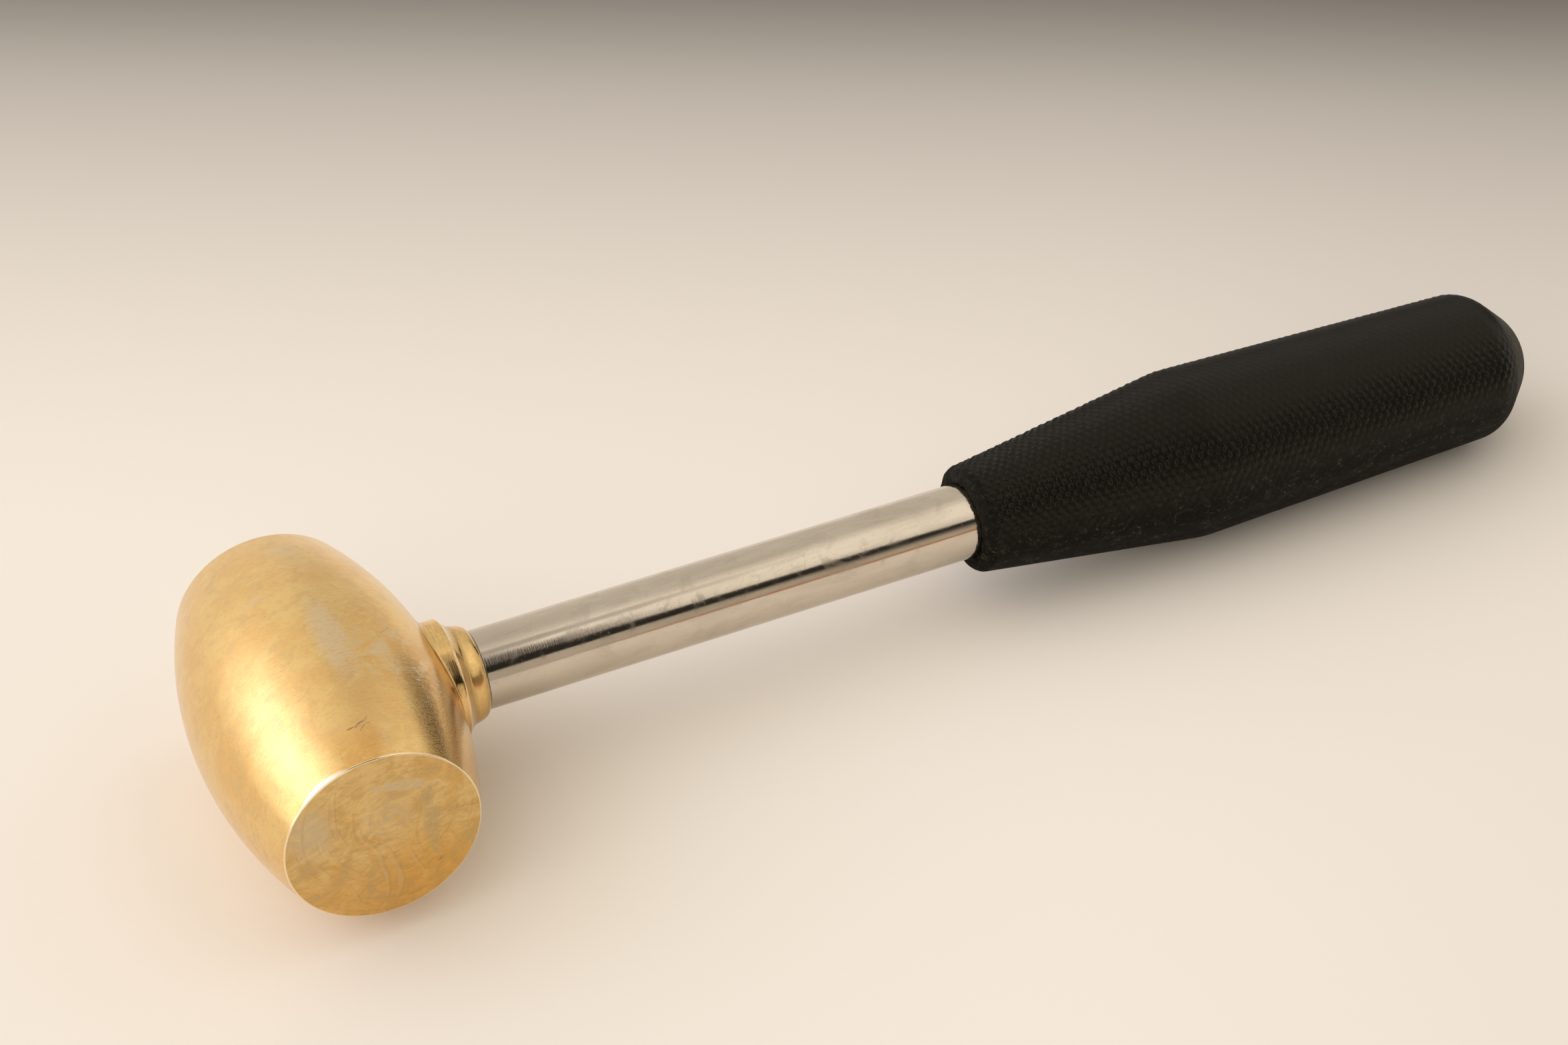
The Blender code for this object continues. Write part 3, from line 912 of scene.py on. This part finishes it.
class HAMMER_OT_rubber_grip(bpy.types.Operator):
    """Models the moulded rubber grip with its pimples, its ragged lip, its blind bore and its domed end"""

    bl_idname = "hammer.rubber_grip"
    bl_label = "Rubber grip"

    def execute(self, context):
        s = context.scene.hammer_grip
        bore, skin = grip_outline(s)
        inside = rounded(bore, 6.0)
        outside = rounded([bore[-1]] + skin, s.pitch / 4)[1:]
        points = [(p.x, 0, p.y) for p in inside + outside]
        grip = draw_profile("pimpled_rubber_grip", points)
        spin_profile((1, 0, 0), s.rows * 4)
        bpy.ops.object.mode_set(mode="OBJECT")
        sink_hollows(grip, s)
        lay_down(grip, "rubber_grip", rubber_finish(s), 60)
        return {"FINISHED"}


def wander(x, y, z, size):
    """Soft unevenness from -1 to 1 over lengths of about size mm."""
    return noise.noise(Vector((x, y, z)) / size)


def pimple_height(s, x, y, z):
    """1 on top of a pimple and 0 between pimples, which stand in rows, each half a pitch on from the last."""
    row = math.cos(math.atan2(y, z) * s.rows / 2 + 1.5 * wander(x, z, y, 2.3))
    bump = row * math.cos((x - s.front) * math.tau / s.pitch + 1.5 * wander(z, x, y, 2.3))
    bump = ramp(bump, 0.05, 0.90)
    return bump * bump * (3 - 2 * bump) * (0.8 + 0.35 * wander(x, y, z, 2.5))


def ramp(value, low, high):
    """0 at low, 1 at high, straight between and level beyond."""
    return min(1.0, max(0.0, (value - low) / (high - low)))


def sink_hollows(grip, s):
    """Sinks the hollows between the pimples into the grip's skin, and frets its front lip."""
    hollows = grip.vertex_groups.new(name="hollows")
    fretted = grip.vertex_groups.new(name="fretted_lip")
    for vertex in grip.data.vertices:
        x, y, z = vertex.co / MM
        radius = math.hypot(y, z)
        if radius < GRIP_LIP - 0.1 and x < HEEL[0] or radius < 1.0 or abs(radius - GRIP_BORE) < 0.01:
            continue
        from_lip = x - s.front
        if from_lip < FRET_REACH and radius < FRONT_RADIUS + 0.15:
            ragged = 0.5 + 0.45 * wander(x * 0.3, y, z, 2.2) + 0.35 * wander(x, z, y, 0.8)
            fretted.add([vertex.index], ramp(ragged, 0.0, 1.0) * (1 - from_lip / FRET_REACH), "REPLACE")
        rear = ramp(x, *REAR)
        kept = ramp(from_lip, *BEHIND_LIP) * ramp(x, *BEFORE_DOME)
        kept *= 1 - 0.8 * ramp(x, *WORN_ALONG) * ramp(z, *WORN_HEIGHT)
        kept *= ramp(z, -3.0 + 6.0 * rear, 3.0 + 5.0 * rear)
        if kept > 0:
            sunk = ramp(1 - pimple_height(s, x, y, z), 0.0, 1.0)
            hollows.add([vertex.index], kept * sunk, "REPLACE")
    pick(grip)
    apply_modifier(grip, "DISPLACE", strength=-s.pimple * MM, mid_level=0.0, vertex_group="hollows")
    apply_modifier(grip, "DISPLACE", strength=LIP_FRET * MM, mid_level=0.0, direction="X",
                   vertex_group="fretted_lip")
    grip.vertex_groups.clear()


def rubber_finish(s):
    """Black rubber: satin above, dusty and scuffed low down, on the lip and on the dome, with a painted sheen in
    the same places.
    """
    material, t, own = finish_named("black_rubber")
    x, y, z = t.split(own)
    skin = t.grain(own, 2.6, 4.0, 0.7)
    blotch = t.grain(own, 0.11, 5.0, 0.6, 0.8)
    scuffs = t.grain(t.point(x * 0.6, y, z), 0.6, 6.0, 0.72, 0.5)
    low = t.fade(z, 7.0, -3.0)

    # Pimples in the same rows as the modelled ones, each pushed a little out of line.
    nudge = t.split(t.add("ShaderNodeTexNoise", None, {"Vector": own, "Scale": 0.75, "Detail": 2.0}, "Color"))
    row = y.turn(z) * (s.rows / 2) + (nudge[0] - 0.5) * 4.0
    along = (x - s.front) * (math.tau / s.pitch) + (nudge[1] - 0.5) * 4.0
    pimple = t.fade(row.cos() * along.cos(), -0.2, 0.7)
    rear = t.fade(x, *REAR)
    high = t.fade(z, *WORN_HEIGHT)
    from_lip = x - s.front
    kept = t.fade(from_lip, *BEHIND_LIP) * t.fade(x, *BEFORE_DOME)
    kept = kept * (1.0 - t.fade(x, *WORN_ALONG) * high * 0.85) * (0.12 + t.fade(z, -3.0, 3.0) * 0.88)
    kept = kept * (1.0 - rear * t.fade(z, 7.0, 3.0) * 0.6)

    # Dust, with a painted sheen: paler patches, far stronger on the lower side.
    dust_and_sheen = t.fade(scuffs * 0.7 + skin * 0.3, 0.50, 0.70) * (low * 0.16 + 0.015)
    speck = t.fade(t.grain(own, 1.2, 4.0, 0.7), 0.52, 0.68) * t.fade(scuffs, 0.44, 0.60)
    lip = 1.0 - t.fade(from_lip + (scuffs - 0.5) * 3.0, 1.4, 3.4)
    tip_dust_and_sheen = t.fade(x + (scuffs - 0.5) * 4.0 + (blotch - 0.5) * 6.0, HEEL[0] + 1.6, HEEL[0] + 5.0)
    # Dust and a painted sheen: low down, on the lip and on the dome's tip, over specks.
    dust_and_sheen_cover = t.highest(
        dust_and_sheen,
        speck * (low * 0.55 + 0.03),
        lip * t.fade(skin * 0.5 + scuffs * 0.5, 0.50, 0.64) * 0.3,
        tip_dust_and_sheen * t.fade(scuffs * 0.4 + skin * 0.6, 0.42, 0.60) * 0.65)
    deep, worn = [c * 0.55 for c in s.rubber], [c * 1.6 for c in s.rubber]
    colour = t.blend(blotch * 0.4 + kept * (0.3 + pimple * 0.2), deep, worn)
    colour = t.blend(dust_and_sheen_cover, colour, s.dust_and_sheen)
    rough = 0.20 + blotch * 0.12 + low * 0.14 + high * 0.10 + lip * 0.25 + dust_and_sheen_cover * 0.3
    normal = t.raised(pimple * kept, 0.07 * MM)
    coarse = (low * (1.0 + rear) + lip * 2.0) * scuffs * 2.0
    normal = t.raised(skin * (1.0 + high * 0.6) + coarse, 0.035 * MM, normal)

    # The grain breaks up the gloss where the skin is seen aslant.
    skins = {"Base Color": colour, "Roughness": rough, "Normal": normal}
    gloss = {"IOR": 1.285, "Specular Tint": (1.0, 0.92, 0.77, 1.0)}
    satin = t.add("ShaderNodeBsdfPrincipled", None, {**gloss, **skins})
    matte = t.add("ShaderNodeBsdfPrincipled", None, {"Specular IOR Level": 0.0, **skins})
    slant = t.fade(t.add("ShaderNodeLayerWeight", None, {"Blend": 0.5}, "Facing"), 0.34, 0.72)
    dull = t.highest(slant * 0.7, low * 0.6, lip * 0.5, dust_and_sheen_cover)
    dull = dull + (1.0 - dull) * (1.0 - pimple) * kept * 0.15
    both = t.add("ShaderNodeMixShader", None, {0: dull, 1: satin, 2: matte})
    t.add("ShaderNodeOutputMaterial", None, {"Surface": both})
    return material


# Hidden fittings

def turned_steel(name, colour, lines):
    """Plain steel with turning lines along the handle."""
    material, t, own = finish_named(name)
    x, y, z = t.split(own)
    ring = t.grain(t.point(x * lines, y * 0.3, z * 0.3), 1.0, 3.0, 0.6)
    stain = t.grain(own, 0.3, 4.0, 0.6)
    shade = t.blend(stain, colour, [c * 0.6 for c in colour])
    t.surface({"Metallic": 1.0}, Base_Color=shade, Roughness=0.28 + ring * 0.2,
              Normal=t.raised(ring, 0.01 * MM))
    return material


def plug_plastic():
    """Moulded black plastic with a fine grain."""
    material, t, own = finish_named("moulded_plastic")
    grain = t.grain(own, 1.6, 4.0, 0.6)
    shade = t.blend(grain, (0.028, 0.028, 0.028), (0.045, 0.044, 0.042))
    t.surface({"Metallic": 0.0}, Base_Color=shade, Roughness=0.45 + grain * 0.2,
              Normal=t.raised(grain, 0.02 * MM))
    return material


class HAMMER_OT_hidden_fittings(bpy.types.Operator):
    """Finishes the core, the pin and the plug, which keep their CAD shapes"""

    bl_idname = "hammer.hidden_fittings"
    bl_label = "Hidden fittings"

    def execute(self, context):
        finishes = {
            "tube_core": turned_steel("turned_core_steel", (0.46, 0.46, 0.47), 3.0),
            "spring_pin": turned_steel("dark_spring_steel", (0.24, 0.24, 0.25), 1.2),
            "tube_end_plug": plug_plastic(),
        }
        for node, material in finishes.items():
            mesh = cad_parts[node].data
            mesh.materials.clear()
            mesh.materials.append(material)
        return {"FINISHED"}


# Stage

VIEW_FROM = Vector((-0.194661, -0.375130, 0.351277))
VIEW_ALONG = Vector((0.31954, 0.72446, -0.61078))
VIEW_ROLL = math.radians(-3.122)
GLOW_BEARING = 300.0
GLOW_HEIGHT = 34.0
GLOW_SPREAD = math.radians(16.0)
OVERHEAD_BEARING = 128.0
OVERHEAD_HEIGHT = 75.5
GLOW_TINT = (0.97, 0.96, 1.12)
DIM_TINT = (0.60, 0.51, 0.40)
DUSK_TINT = (0.22, 0.18, 0.14)
LEDGE_TINT = (0.60, 0.21, 0.08)
GAP_TINT = (0.03, 0.027, 0.023)
BACKDROP = (0.36, 0.325, 0.275, 1.0)

# The floor's shade: the way it deepens, how far that takes in metres, its steepness, its limit and its colour.
SHADE_ALONG = (0.545, 0.838)
SHADE_REACH = 0.35
SHADE_POWER = 1.65
DEEPEST_SHADE = 0.85
SHADE_COLOUR = (0.02, 0.018, 0.015)
FLOOR_SIZE = 8.0


def aimed(place, target, roll=0.0):
    """Matrix of a camera at place that looks at target."""
    back = (place - target).normalized()
    right = Vector((0, 0, 1)).cross(back).normalized()
    up = back.cross(right)
    side = math.cos(roll) * right + math.sin(roll) * up
    rise = back.cross(side)
    turned = Matrix((side, rise, back)).transposed().to_4x4()
    return Matrix.Translation(place) @ turned


def light_surround(s):
    """Soft light from all round, brightest at the back left, with dark gaps that the bright metal mirrors.

    Bearings are in degrees from +Y towards +X. The camera itself sees a plain backdrop.
    """
    world = bpy.data.worlds.new("soft_surround")
    bpy.context.scene.world = world
    t = Tree(world)
    dx, dy, dz = t.split(t.add("ShaderNodeTexCoord", None, None, "Generated"))
    rise = dz.math("ARCSINE", dz) * DEGREES

    def bearing_from(zero):
        a = math.radians(zero)
        across, ahead = dx * math.cos(a) - dy * math.sin(a), dy * math.cos(a) + dx * math.sin(a)
        return across.turn(ahead) * DEGREES

    def nearness(bearing, height):
        """Cosine of the angle from one direction."""
        a, e = math.radians(bearing), math.radians(height)
        return dx * (math.sin(a) * math.cos(e)) + dy * (math.cos(a) * math.cos(e)) + dz * math.sin(e)

    def column(bearing, inner, outer):
        return t.close(bearing_from(bearing), 0.0, inner, outer)

    def under(low, high):
        return 1.0 - t.fade(rise, low, high)

    # The glow and the broad levels.
    glow = ((nearness(GLOW_BEARING, GLOW_HEIGHT) - 1.0) / GLOW_SPREAD ** 2).exp()
    overhead = t.fade(nearness(OVERHEAD_BEARING, OVERHEAD_HEIGHT),
                      math.cos(math.radians(11.0)), math.cos(math.radians(3.0)))
    back_right = column(36.0, 12.0, 34.0) * under(60.0, 80.0)
    front_right = column(125.0, 18.0, 60.0) * t.fade(rise, 30.0, 52.0)
    left = column(248.0, 15.0, 58.0) * under(45.0, 75.0) * (1.0 - t.fade(rise, 20.0, 50.0) * 0.4)
    level = (1.0 - back_right * 0.19 + front_right * 0.29 + left * 1.1) * (1.0 - overhead * 0.5)
    level = level * s.surround_level + glow * s.glow_level

    # The dark gap at the front that runs along the tube, and the dim warm place below it.
    front = bearing_from(155.0)
    right_edge = 0.7 - (rise - 45.0).top(0.0) * 0.5 - (41.0 - rise).top(0.0) * 0.62
    gap = t.fade(front - right_edge, -1.0, 1.4) * (1.0 - t.fade(front, 32.0, 42.0))
    gap = gap * t.fade(rise, 8.0 + t.fade(front, 0.0, 8.0) * 13.0, 25.5) * under(68.0, 76.0)
    dim = column(143.0, 18.0, 34.0) * under(19.0, 26.0)
    dusk = column(133.0, 14.0, 22.0) * t.close(rise, 9.0, 9.0, 15.0)
    ledge = dim * t.close(rise, 2.4, 0.8, 2.6) * (1.0 - t.fade(bearing_from(160.0), 1.0, 7.0))

    # The dark gap at the right that shows beside the boss.
    side = bearing_from(66.0) + (rise - 5.0).top(0.0) * 0.3
    side_gap = t.close(side, 0.0, 6.0, 9.5) * under(9.0, 29.0)

    tint = t.layered(
        s.surround,
        (glow * 0.9, GLOW_TINT),
        (dim, DIM_TINT),
        (dusk * 0.8, DUSK_TINT),
        (ledge, LEDGE_TINT),
        (gap.top(side_gap), GAP_TINT))
    lit = t.add("ShaderNodeBackground", None, {"Color": tint, "Strength": level})
    plain = t.add("ShaderNodeBackground", None, {"Color": BACKDROP, "Strength": 1.0})
    seen = t.add("ShaderNodeLightPath", None, None, "Is Camera Ray")
    both = t.add("ShaderNodeMixShader", None, {0: seen, 1: lit, 2: plain})
    t.add("ShaderNodeOutputWorld", None, {"Surface": both})


def lay_floor(s):
    """A pale floor. To the camera it falls off into shade behind the hammer."""
    clear_selection()
    bpy.ops.mesh.primitive_grid_add(x_subdivisions=24, y_subdivisions=24, size=FLOOR_SIZE, location=(0, 0, 0))
    floor = bpy.context.active_object
    floor.name = "floor"
    material = bpy.data.materials.new("pale_floor")
    t = Tree(material)
    x, y, z = t.split(t.add("ShaderNodeTexCoord", None, None, "Object"))
    seen = t.add("ShaderNodeLightPath", None, None, "Is Camera Ray")
    away = (x * SHADE_ALONG[0] + y * SHADE_ALONG[1]).top(0.0)
    aside = t.fade(x - y * 0.6, 0.02, 0.2) * (1.0 - t.fade(away, 0.05, 0.3) * 0.6)
    shade = (away / SHADE_REACH) ** SHADE_POWER + t.fade(away, 0.215, 0.28) * 0.06 + aside * 0.08
    shade = shade.math("MINIMUM", shade, DEEPEST_SHADE) * seen
    paper = t.grain(t.point(x, y, 0.0), 900.0, 3.0, 0.6)
    pale = t.blend(paper * 0.06, s.floor, [c * 0.9 for c in s.floor])
    colour = t.blend(shade, pale, SHADE_COLOUR)
    t.surface({"Metallic": 0.0, "Specular IOR Level": 0.2}, Base_Color=colour, Roughness=0.6 + paper * 0.1)
    floor.data.materials.append(material)


class HAMMER_OT_stage(bpy.types.Operator):
    """Lays the floor, sets the soft light and places the camera"""

    bl_idname = "hammer.stage"
    bl_label = "Stage"

    def execute(self, context):
        s = context.scene.hammer_stage
        context.scene.view_settings.view_transform = "Standard"
        lay_floor(s)
        light_surround(s)
        clear_selection()
        bpy.ops.object.camera_add()
        camera = context.active_object
        camera.name = "camera"
        camera.data.sensor_width = 36.0
        camera.data.lens = s.lens
        camera.data.clip_start = 0.01
        camera.matrix_world = aimed(VIEW_FROM, VIEW_FROM + VIEW_ALONG, VIEW_ROLL)
        context.scene.camera = camera
        return {"FINISHED"}


class HAMMER_PT_sidebar(bpy.types.Panel):
    """Lists the hammer's pieces in the order that they are made"""

    bl_label = "Brass hammer"
    bl_idname = "HAMMER_PT_sidebar"
    bl_space_type = "VIEW_3D"
    bl_region_type = "UI"
    bl_category = "Hammer"

    def draw(self, context):
        for operator, group in STEPS:
            box = self.layout.box()
            box.operator(operator)
            if group:
                settings = getattr(context.scene, group)
                for name in settings.bl_rna.properties.keys():
                    if name not in ("rna_type", "name"):
                        box.prop(settings, name)


STEPS = [
    ("hammer.brass_head", "hammer_head"),
    ("hammer.handle_tube", "hammer_tube"),
    ("hammer.rubber_grip", "hammer_grip"),
    ("hammer.hidden_fittings", None),
    ("hammer.stage", "hammer_stage"),
]
SETTINGS = {
    "hammer_head": HeadSettings,
    "hammer_tube": TubeSettings,
    "hammer_grip": GripSettings,
    "hammer_stage": StageSettings,
}
CLASSES = [
    *SETTINGS.values(),
    HAMMER_OT_brass_head,
    HAMMER_OT_handle_tube,
    HAMMER_OT_rubber_grip,
    HAMMER_OT_hidden_fittings,
    HAMMER_OT_stage,
    HAMMER_PT_sidebar,
]


def register():
    for cls in CLASSES:
        bpy.utils.register_class(cls)
    for name, group in SETTINGS.items():
        setattr(bpy.types.Scene, name, bpy.props.PointerProperty(type=group))


def unregister():
    for name in SETTINGS:
        delattr(bpy.types.Scene, name)
    for cls in reversed(CLASSES):
        bpy.utils.unregister_class(cls)


def main():
    register()
    for operator, group in STEPS:
        family, name = operator.split(".")
        getattr(getattr(bpy.ops, family), name)()


if __name__ == "__main__":
    main()
